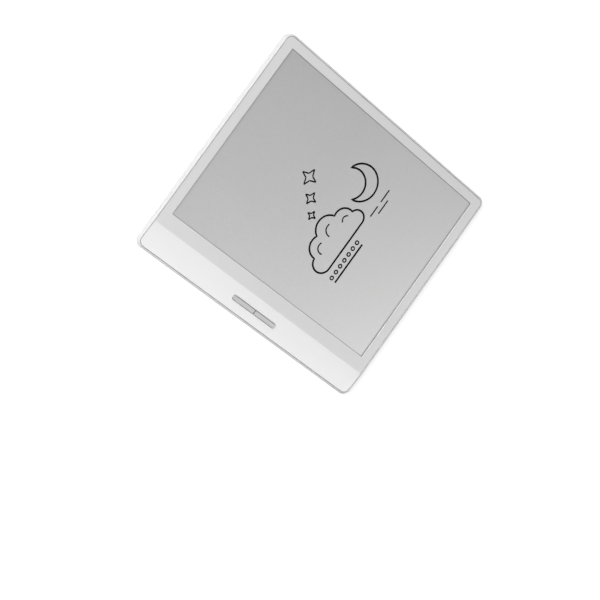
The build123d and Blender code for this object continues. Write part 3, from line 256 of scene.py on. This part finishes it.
def place_group(tree, group, place, **values):
    """A group in a material, with its own values. An underscore stands for a space in a socket's name."""
    node = tree.nodes.new("ShaderNodeGroup")
    node.node_tree = group
    tree.links.new(place, node.inputs["Place"])
    for label, value in values.items():
        node.inputs[label.replace("_", " ")].default_value = value
    return node


def new_material(name, **constants):
    """A Principled material, its Object coordinates, and constants set on the shader's own sockets."""
    material = bpy.data.materials.new(name)
    material.use_nodes = True
    tree = material.node_tree
    shader = tree.nodes["Principled BSDF"]
    for label, value in constants.items():
        shader.inputs[label.replace("_", " ")].default_value = value
    place = tree.nodes.new("ShaderNodeTexCoord").outputs["Object"]
    return material, tree, shader, place


def add_relief(tree, shader, height, depth):
    """A bump of the given depth, from a height between 0 and 1."""
    bump = tree.nodes.new("ShaderNodeBump")
    bump.inputs["Distance"].default_value = depth
    tree.links.new(height, bump.inputs["Height"])
    tree.links.new(bump.outputs["Normal"], shader.inputs["Normal"])


def moulded(
    name,
    colour,
    gloss,
    grain=0.25 * MM,
    depth=0.003 * MM,
    smears=0.0,
    drift=0.03,
    fleck=0.02,
    **constants,
):
    """Moulded plastic, resin or lacquer: eroded grain, slow drift of tone, and smears from handling."""
    material, tree, shader, place = new_material(name, **constants)
    tone = place_group(tree, TONE_DRIFT, place, Colour=(*colour, 1), Drift=drift, Fleck=fleck, Gloss=gloss)
    tree.links.new(tone.outputs["Colour"], shader.inputs["Base Color"])
    if smears:
        hands = place_group(tree, HANDLING, place, Amount=smears)
        tree.links.new(tone.outputs["Roughness"], hands.inputs["Roughness"])
        tree.links.new(hands.outputs["Roughness"], shader.inputs["Roughness"])
    else:
        tree.links.new(tone.outputs["Roughness"], shader.inputs["Roughness"])
    eroded = place_group(tree, MOULD_GRAIN, place, Grain=grain)
    add_relief(tree, shader, eroded.outputs["Height"], depth)
    return material


def rolled(name, colour, gloss, line=0.05 * MM, depth=0.001 * MM, drift=0.06):
    """Sheet metal with its rolling lines and slow patches of tarnish."""
    material, tree, shader, place = new_material(name, Metallic=1.0)
    tone = place_group(
        tree, TONE_DRIFT, place, Colour=(*colour, 1), Drift=drift, Patch=6 * MM,
        Gloss=gloss, Gloss_Drift=0.15,
    )
    tree.links.new(tone.outputs["Colour"], shader.inputs["Base Color"])
    tree.links.new(tone.outputs["Roughness"], shader.inputs["Roughness"])
    lines = place_group(tree, BRUSHED, place, Line=line)
    add_relief(tree, shader, lines.outputs["Height"], depth)
    return material


def etched_film():
    """Anti-glare film over electronic paper: a grey with fine flecks and a soft silky gloss."""
    material, tree, shader, place = new_material("etched_film", Specular_IOR_Level=1.0)
    tone = place_group(
        tree, TONE_DRIFT, place, Colour=(0.284, 0.283, 0.283, 1), Drift=0.05, Patch=45 * MM,
        Fleck=0.20, Fleck_Size=0.45 * MM, Gloss=0.40, Gloss_Drift=0.04,
    )
    hands = place_group(tree, HANDLING, place, Amount=0.03, Reach=20 * MM)
    tree.links.new(tone.outputs["Colour"], shader.inputs["Base Color"])
    tree.links.new(tone.outputs["Roughness"], hands.inputs["Roughness"])
    tree.links.new(hands.outputs["Roughness"], shader.inputs["Roughness"])
    etch = place_group(tree, MOULD_GRAIN, place, Grain=0.09 * MM)
    add_relief(tree, shader, etch.outputs["Height"], 0.002 * MM)
    return material


def woven_mesh():
    """Fine wire cloth behind the speaker slots, drawn by two crossed waves."""
    material, tree, shader, place = new_material("wire_cloth", Metallic=1.0, Roughness=0.45)
    split = tree.nodes.new("ShaderNodeSeparateXYZ")
    tree.links.new(place, split.inputs[0])
    turns = [calc(tree, "MULTIPLY", split.outputs[axis], math.tau / WEAVE_PITCH) for axis in "XZ"]
    weave = calc(tree, "MULTIPLY", *(calc(tree, "SINE", turn) for turn in turns))
    shade = calc(tree, "MULTIPLY_ADD", weave, 0.02, 0.04)
    tree.links.new(shade, shader.inputs["Base Color"])
    add_relief(tree, shader, weave, 0.02 * MM)
    return material


MATERIALS = {
    "shell": moulded("shell_plastic", (0.520, 0.519, 0.520), 0.42, smears=0.02, Specular_IOR_Level=0.25),
    "bezel": moulded("front_plastic", (0.530, 0.526, 0.529), 0.22, grain=0.2 * MM, smears=0.015),
    "page_keys": moulded("key_plastic", (0.305, 0.301, 0.302), 0.30, grain=0.15 * MM, smears=0.04),
    "power_key": moulded("power_key_plastic", (0.60, 0.60, 0.60), 0.25, grain=0.15 * MM, depth=0.001 * MM),
    "light_pipe": moulded("light_pipe_resin", (0.05, 0.05, 0.05), 0.12, depth=0.0005 * MM, Coat_Weight=0.5),
    "screen": etched_film(),
    "clear_film": moulded("light_guide_acrylic", (0.62, 0.64, 0.65), 0.15, grain=0.08 * MM),
    "panel_glass": moulded("panel_glass", (0.30, 0.33, 0.31), 0.12, depth=0.0005 * MM),
    "foam": moulded("gasket_foam", (0.03, 0.03, 0.03), 0.9, grain=0.12 * MM, depth=0.03 * MM),
    "steel_sheet": rolled("steel_sheet", (0.60, 0.60, 0.60), 0.30),
    "screws": rolled("screw_steel", (0.22, 0.22, 0.23), 0.32, line=0.03 * MM),
    "inner_plastic": moulded("inner_plastic", (0.38, 0.38, 0.38), 0.5),
    "board": moulded("board_lacquer", (0.012, 0.09, 0.045), 0.3, grain=0.5 * MM, drift=0.15),
    "chip": moulded("chip_resin", (0.02, 0.02, 0.022), 0.55, grain=0.06 * MM),
    "ceramic_parts": moulded("ceramic_parts", (0.36, 0.24, 0.14), 0.4, drift=0.5),
    "flex": moulded("flex_film", (0.45, 0.19, 0.03), 0.28, drift=0.1),
    "connector": moulded("connector_resin", (0.62, 0.58, 0.48), 0.5),
    "gold": rolled("gold_plate", (0.83, 0.60, 0.25), 0.25),
    "lamp": moulded("lamp_resin", (0.85, 0.75, 0.25), 0.25),
    "cell": rolled("pouch_foil", (0.55, 0.56, 0.58), 0.35, line=0.4 * MM, depth=0.01 * MM),
    "tape": moulded("pull_tape", (0.85, 0.85, 0.83), 0.6, grain=0.3 * MM),
    "magnet": rolled("nickel_plate", (0.68, 0.66, 0.64), 0.2),
    "mesh": woven_mesh(),
}
INK = moulded(
    "screen_ink", (0.006, 0.006, 0.006), 0.6, grain=0.12 * MM, drift=0.2, fleck=0.5, Specular_IOR_Level=0.0
)
# Dark grey colour of the painted shade line round the window's edge
EDGE_SHADE_PAINT = moulded("edge_shade_paint", (0.17, 0.17, 0.17), 0.4, grain=0.1 * MM)
FLOOR_PAPER = moulded(
    "floor_paper", (0.48, 0.48, 0.48), 0.85, grain=0.8 * MM, drift=0.01, fleck=0.01,
    Emission_Color=(1, 1, 1, 1), Emission_Strength=0.56,
)


# Shaping

WELD = 0.001 * MM
FLAT_TURN = math.radians(0.5)
SHARP_TURN = math.radians(40)
SMOOTH_TURN = math.radians(30)


def only(piece):
    """Makes one object the only one selected, and active."""
    bpy.ops.object.select_all(action="DESELECT")
    piece.select_set(True)
    bpy.context.view_layer.objects.active = piece


def dress(piece, name, material):
    """Names a finished piece, gives it its material and puts it on the case."""
    piece.name = name
    piece.data.name = name
    piece.data.materials.clear()
    piece.data.materials.append(material)
    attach(piece, "case")


def body_of(name):
    """The CAD body that a node moves with."""
    return next(body for body, empty in frame["bodies"].items() if nodes[name].parent == empty)


def soften(part, width):
    """A copy of a moulded or drawn part with its sharp edges rounded over, shown in the part's stead."""
    name, slot = part["node"], part["material_slot"]
    only(nodes[name])
    bpy.ops.object.duplicate()
    piece = bpy.context.object
    bpy.ops.mesh.customdata_custom_splitnormals_clear()
    bpy.ops.object.mode_set(mode="EDIT")
    bpy.ops.mesh.select_all(action="SELECT")
    bpy.ops.mesh.remove_doubles(threshold=WELD)
    bpy.ops.mesh.dissolve_limited(angle_limit=FLAT_TURN)
    bpy.ops.object.mode_set(mode="OBJECT")
    edges = piece.modifiers.new("edges", "BEVEL")
    edges.width = width
    edges.segments = 2
    edges.limit_method = "ANGLE"
    edges.angle_limit = SHARP_TURN
    bpy.ops.object.modifier_apply(modifier="edges")
    bpy.ops.object.shade_smooth_by_angle(angle=SMOOTH_TURN)
    corners = piece.data.vertices
    for edge in piece.data.edges:
        if all(abs(corners[end].co.x - CREASE_X) < 0.01 * MM for end in edge.vertices):
            edge.use_edge_sharp = True
    flats = piece.modifiers.new("flats", "WEIGHTED_NORMAL")
    flats.keep_sharp = True
    flats.weight = 100
    bpy.ops.object.modifier_apply(modifier="flats")
    piece.name = f"{name}_finish"
    piece.data.materials.clear()
    piece.data.materials.append(MATERIALS[slot])
    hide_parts(name)
    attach(piece, body_of(name))


def frame_of(x, y, z, corner, width):
    """A flat rectangular frame as a thin sheet: its outside, its corner radius and how wide it is."""
    bpy.ops.mesh.primitive_plane_add(size=1.0, location=((x[0] + x[1]) / 2, (y[0] + y[1]) / 2, z))
    piece = bpy.context.object
    piece.scale = (x[1] - x[0], y[1] - y[0], 1.0)
    bpy.ops.object.transform_apply(location=True, rotation=True, scale=True)
    bpy.ops.object.mode_set(mode="EDIT")
    bpy.ops.mesh.select_all(action="SELECT")
    bpy.ops.mesh.bevel(offset=corner, segments=8, affect="VERTICES")
    bpy.ops.mesh.select_all(action="SELECT")
    bpy.ops.mesh.inset(thickness=width)
    bpy.ops.mesh.delete(type="FACE")
    bpy.ops.object.mode_set(mode="OBJECT")
    return piece


def thicken(piece, thickness):
    """Gives a sheet its thickness, downwards from its face."""
    only(piece)
    sheet = piece.modifiers.new("sheet", "SOLIDIFY")
    sheet.thickness = thickness
    sheet.offset = -1.0
    bpy.ops.object.modifier_apply(modifier="sheet")


def add_window_edge_shade():
    """A thin dark line of painted shade round the edge of the touch film, where the front plate's recess
    meets it, partly under the front plate.
    """
    x = (WINDOW_X[0] - EDGE_SHADE_TUCK, WINDOW_X[1] + EDGE_SHADE_TUCK)
    y = (WINDOW_Y[0] - EDGE_SHADE_TUCK, WINDOW_Y[1] + EDGE_SHADE_TUCK)
    piece = frame_of(x, y, SCREEN_Z + INK_AND_SHADE_LIFT, EDGE_SHADE_CORNER, EDGE_SHADE_TUCK + EDGE_SHADE_WIDTH)
    thicken(piece, INK_AND_SHADE_LIFT)
    dress(piece, "window_edge_shade", EDGE_SHADE_PAINT)


def add_groove_shade():
    """Dark sheet of painted shade at the foot of the groove round the front plate. It follows the grip's
    slope.
    """
    x = (plate_low.x - GROOVE, plate_high.x + GROOVE)
    y = (plate_low.y - GROOVE, plate_high.y + GROOVE)
    piece = frame_of(x, y, plate_high.z - GROOVE_SHADE_DEPTH, GROOVE_RADIUS, GROOVE)
    bpy.ops.object.mode_set(mode="EDIT")
    bpy.ops.mesh.select_all(action="SELECT")
    bpy.ops.mesh.bisect(plane_co=(CREASE_X, 0, 0), plane_no=(1, 0, 0))
    bpy.ops.object.mode_set(mode="OBJECT")
    for corner in piece.data.vertices:
        corner.co.z -= max(CREASE_X - corner.co.x, 0) * GRIP_SLOPE
    thicken(piece, GROOVE_SHADE_HEIGHT)
    # The gasket foam's near-black colour stands in for the shade in the groove
    dress(piece, "groove_painted_shade", MATERIALS["foam"])


# Picture on the screen: a moon, a cloud and stars. Its places and widths are in millimetres.

BOLD, FINE = 1.1, 0.8
# Puffs as x, y and radius, and the strokes in them as centre, radius and two angles
PUFFS = [(-17, -16.5, 5.5), (-10.5, -10.5, 7), (0, -8, 8), (9.5, -12, 6.4), (14.5, -17.5, 4.5)]
PUFF_STROKES = [((-10, -12), 3.4, 200, 60), ((1, -10), 4.0, 190, 70), ((10, -13.5), 2.6, 150, 20)]
# The moon's circle and the bite out of it, each as centre and radius
MOON = ((31, -7), 10.5, (27.2, -2.6), 8.8)
STARS = [((0, 5.5), 2.8), ((7, 12), 3.8), ((15.5, 20), 5.0)]
STAR_WAIST = 0.40
# Dashes under the moon, as two x and a y
BREEZE = [(20, 27, -24), (30, 38, -24), (24, 33, -27)]
RINGS = [(-20 + 4 * n, -26.7) for n in range(7)]
RING_RADIUS = 1.0
UNDERLINE = [(-21, -30), (5, -30)]


def arc(centre, radius, start, end, step=9):
    """Points along an arc, from one angle to another in degrees."""
    count = max(2, round(abs(end - start) / step))
    angles = [math.radians(start + (end - start) * n / count) for n in range(count + 1)]
    return [(centre[0] + radius * math.cos(a), centre[1] + radius * math.sin(a)) for a in angles]


def crossings(one, one_radius, two, two_radius):
    """The two points where two circles cross."""
    dx, dy = two[0] - one[0], two[1] - one[1]
    apart = math.hypot(dx, dy)
    along = (apart**2 + one_radius**2 - two_radius**2) / (2 * apart)
    half = math.sqrt(one_radius**2 - along**2)
    foot = (one[0] + dx * along / apart, one[1] + dy * along / apart)
    return [(foot[0] - s * half * dy / apart, foot[1] + s * half * dx / apart) for s in (1, -1)]


def angle_at(centre, point):
    """The direction from centre to point, in degrees."""
    return math.degrees(math.atan2(point[1] - centre[1], point[0] - centre[0]))


def cloud(puffs):
    """Outline of a cloud: puffs from left to right as (x, y, radius), closed by a flat base."""
    outline = []
    start = 270.0
    for n, (x, y, radius) in enumerate(puffs):
        if n + 1 < len(puffs):
            after = puffs[n + 1]
            meet = max(crossings((x, y), radius, after[:2], after[2]), key=lambda p: p[1])
            end = angle_at((x, y), meet)
            next_start = angle_at(after[:2], meet)
        else:
            end, next_start = -90.0, 0.0
        while end > start:
            end -= 360
        outline += arc((x, y), radius, start, end)
        start = next_start % 360
    return outline


def crescent(centre, radius, bite, bite_radius):
    """Outline of a crescent moon: a circle with a smaller circle bitten out of it."""
    tips = crossings(centre, radius, bite, bite_radius)
    outer = [angle_at(centre, tip) for tip in tips]
    inner = [angle_at(bite, tip) for tip in tips]
    while outer[1] < outer[0]:
        outer[1] += 360
    while inner[0] > inner[1]:
        inner[0] -= 360
    return arc(centre, radius, outer[0], outer[1]) + arc(bite, bite_radius, inner[1], inner[0])


def star(centre, radius):
    """Outline of a four-pointed star with drawn-in sides."""
    points = []
    for n in range(8):
        reach = radius if n % 2 == 0 else radius * STAR_WAIST
        turn = math.radians(90 + 45 * n)
        points.append((centre[0] + reach * math.cos(turn), centre[1] + reach * math.sin(turn)))
    return points


def ink_line(points, width, closed=True):
    """A flat drawn line through points given in millimetres."""
    line = bpy.data.curves.new("ink_line", "CURVE")
    line.dimensions = "3D"
    line.bevel_depth = width * MM / 2
    line.bevel_resolution = 1
    line.use_fill_caps = True
    path = line.splines.new("POLY")
    path.points.add(len(points) - 1)
    for point, (x, y) in zip(path.points, points):
        point.co = (x * MM, y * MM, 0, 1)
    path.use_cyclic_u = closed
    drawn = bpy.data.objects.new("ink_line", line)
    bpy.context.collection.objects.link(drawn)
    only(drawn)
    bpy.ops.object.convert(target="MESH")
    drawn = bpy.context.object
    bpy.ops.object.mode_set(mode="EDIT")
    bpy.ops.mesh.select_all(action="SELECT")
    bpy.ops.mesh.remove_doubles(threshold=WELD / 2)
    bpy.ops.object.mode_set(mode="OBJECT")
    drawn.scale = (1, 1, 2 * INK_AND_SHADE_LIFT / (width * MM))
    drawn.location = (0, 0, SCREEN_Z)
    bpy.ops.object.transform_apply(location=True, rotation=True, scale=True)
    return drawn


def add_picture():
    """All the lines of the picture, joined into one piece on the film."""
    lines = [ink_line(cloud(PUFFS), BOLD)]
    lines.append(ink_line(crescent(*MOON), BOLD))
    for place, size in STARS:
        points = star(place, size)
        lines += [ink_line(side, FINE, closed=False) for side in zip(points, points[1:] + points[:1])]
    lines += [ink_line(arc(*stroke), FINE, closed=False) for stroke in PUFF_STROKES]
    lines += [ink_line([(start, y), (end, y)], FINE, closed=False) for start, end, y in BREEZE]
    lines.append(ink_line(UNDERLINE, BOLD, closed=False))
    lines += [ink_line(arc(ring, RING_RADIUS, 0, 340, 20), FINE) for ring in RINGS]
    bpy.ops.object.select_all(action="DESELECT")
    for line in lines:
        line.select_set(True)
    bpy.context.view_layer.objects.active = lines[0]
    bpy.ops.object.join()
    dress(bpy.context.object, "screen_picture", INK)


# Studio

ROOM_LIGHT = 0.42
SHEEN_HEIGHT = 1.2  # of the two softboxes that face straight down and only show as reflections


def add_floor():
    """A plain pale floor just under the case."""
    bpy.ops.mesh.primitive_plane_add(size=FLOOR_SIZE, location=(0, 0, cad_bounds[0][2] - FLOOR_GAP))
    floor = bpy.context.object
    floor.name = "floor"
    floor.data.materials.append(FLOOR_PAPER)


def add_softbox(name, place, target, size, power, diffuse=True):
    """A rectangular softbox that faces target. Without diffuse it shows only as a reflection."""
    bpy.ops.object.light_add(type="AREA", location=place)
    box = bpy.context.object
    box.name = name
    box.data.shape = "RECTANGLE"
    box.data.size, box.data.size_y = size
    box.data.energy = power
    box.rotation_euler = (Vector(target) - Vector(place)).to_track_quat("-Z", "Y").to_euler()
    box.visible_diffuse = diffuse


def add_sheen(name, x, y, size, power):
    """A softbox that faces straight down and shows only as a reflection."""
    add_softbox(name, (x, y, SHEEN_HEIGHT), (x, y, 0), size, power, diffuse=False)


def add_studio():
    """Soft room light, two real softboxes, and two that give the screen and the grip their sheen."""
    world = bpy.data.worlds.new("studio")
    world.use_nodes = True
    room = world.node_tree.nodes["Background"]
    room.inputs["Color"].default_value = (1, 1, 1, 1)
    room.inputs["Strength"].default_value = ROOM_LIGHT
    bpy.context.scene.world = world
    add_softbox("key_softbox", (-0.13, 0.84, 0.84), (0, 0, 0), (1.0, 0.8), 17.5)
    add_sheen("grip_softbox", -0.54, -0.60, (0.80, 0.74), 14.0)
    add_sheen("screen_softbox", -0.12, -1.40, (1.00, 0.84), 46.0)
    add_softbox("side_softbox", (0.95, 0.20, 0.32), (0, 0, 0), (0.4, 0.6), 1.4)
    bpy.context.scene.view_settings.view_transform = "Standard"


def add_camera():
    """A long lens, above and to one side of the case."""
    bpy.ops.object.camera_add(location=(-0.08193, 0.33094, 0.69333))
    camera = bpy.context.object
    camera.name = "camera"
    camera.rotation_euler = [math.radians(a) for a in (-14.183, -23.332, -50.665)]
    camera.data.sensor_width = 36.0
    camera.data.lens = 84.7
    bpy.context.scene.camera = camera


for part in frame["record"]["subparts"]:
    mesh = nodes[part["node"]].data
    mesh.materials.clear()
    mesh.materials.append(MATERIALS[part["material_slot"]])
    if part["node"] in SOFT_EDGES:
        soften(part, SOFT_EDGES[part["node"]])
add_window_edge_shade()
add_groove_shade()
add_picture()
add_floor()
add_studio()
add_camera()
